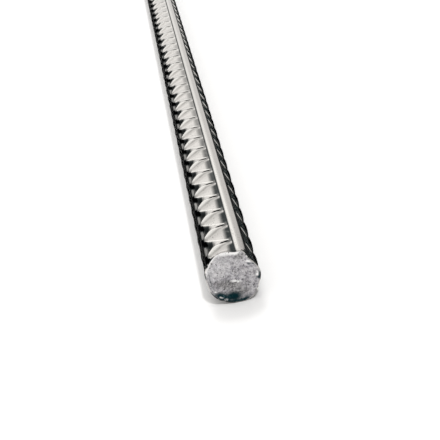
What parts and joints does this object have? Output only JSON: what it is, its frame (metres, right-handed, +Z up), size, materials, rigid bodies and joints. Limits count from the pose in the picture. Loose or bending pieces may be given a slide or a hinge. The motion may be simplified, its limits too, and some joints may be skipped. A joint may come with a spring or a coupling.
{
  "type": "steel reinforcing bar",
  "caption": "Straight ribbed steel reinforcing bar of round section with lengthwise ribs and slanted crescent ribs, cropped square at both ends.",
  "frame": {"origin": "on the floor, under the middle of the bar", "axes": "+Y along the bar, away from the end that faces the viewer; +Z up; +X to the viewer's right"},
  "size_m": [0.0158, 1.2192, 0.0157],
  "materials": {
    "hot_rolled_steel": "bright hot-rolled steel, darker between the ribs"
  },
  "bodies": {
    "root": {"ribbed_bar": "hot_rolled_steel"}
  },
  "joints": []
}
